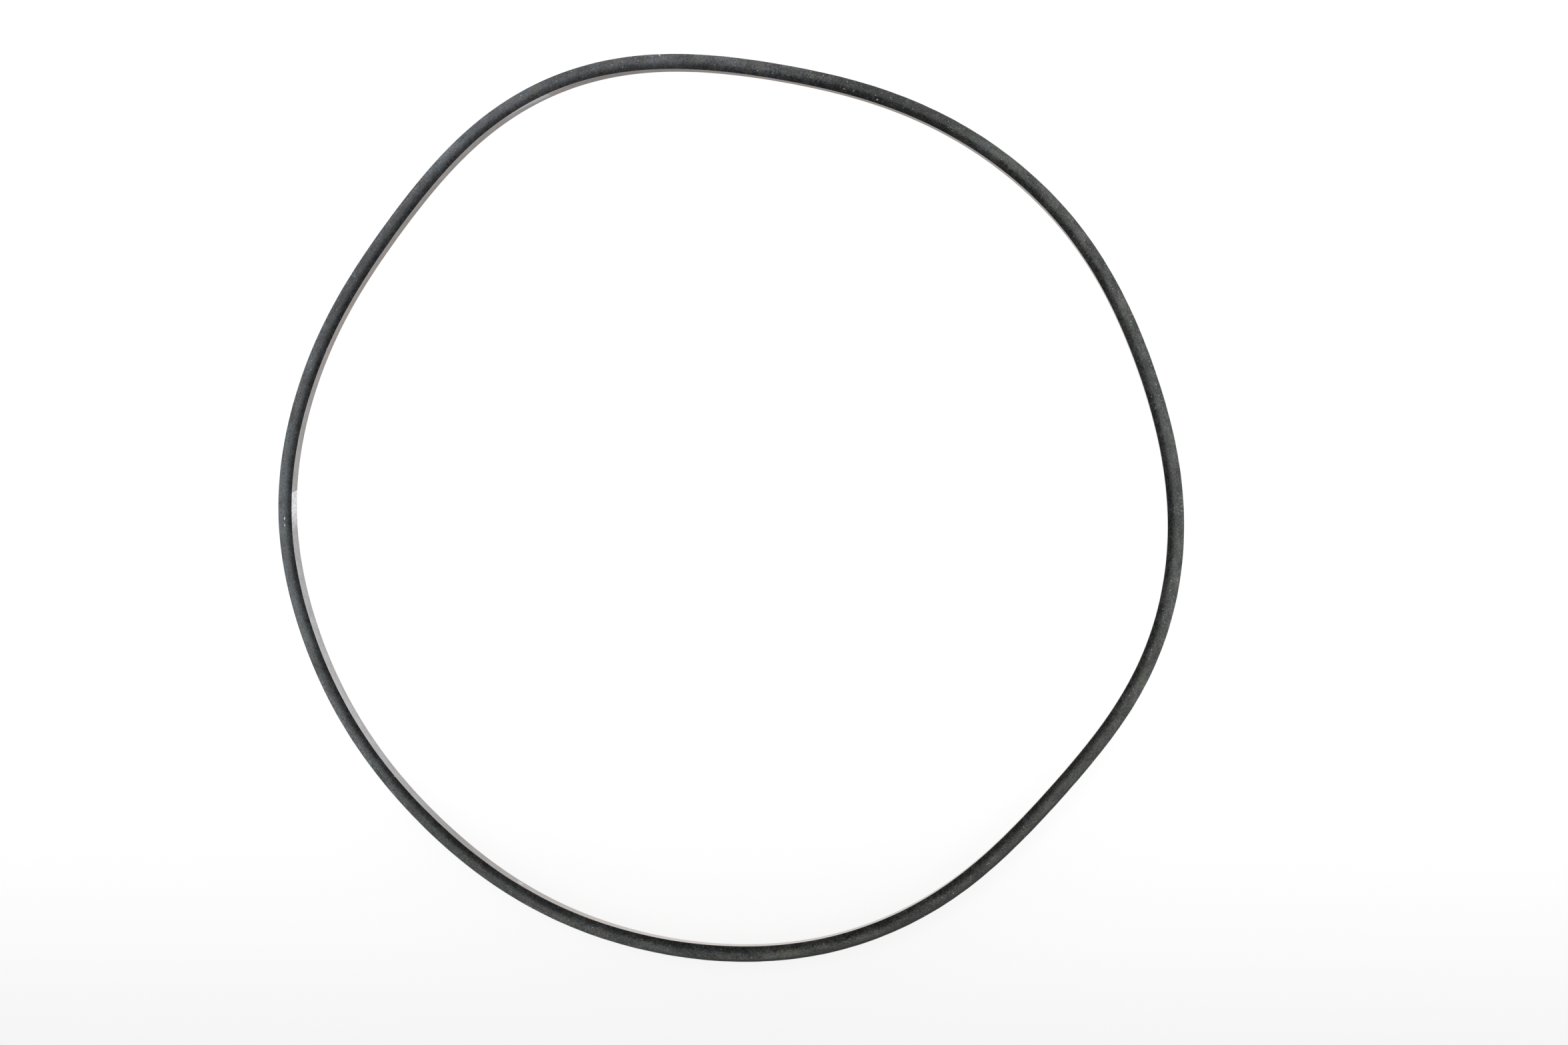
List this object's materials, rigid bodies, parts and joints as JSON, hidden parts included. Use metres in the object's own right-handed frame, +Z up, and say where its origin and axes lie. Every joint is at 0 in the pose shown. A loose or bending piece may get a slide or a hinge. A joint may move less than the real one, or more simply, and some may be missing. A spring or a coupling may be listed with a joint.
{
  "type": "extension housing seal",
  "caption": "Thin closed rubber ring, flat inside and crowned outside, that seals the joint between a gearbox case and its extension housing.",
  "frame": {"origin": "centre of the ring's bounding box in plan, at the level of its underside", "axes": "+Z up, across the ring's thin direction, square to the plane in which the ring lies; +X and +Y lie in that plane"},
  "size_m": [0.1516, 0.151, 0.0038],
  "materials": {
    "rubber": "dull moulded rubber with a light talc bloom; smoother inner wall"
  },
  "bodies": {
    "root": {"seal_ring": "rubber"}
  },
  "joints": []
}
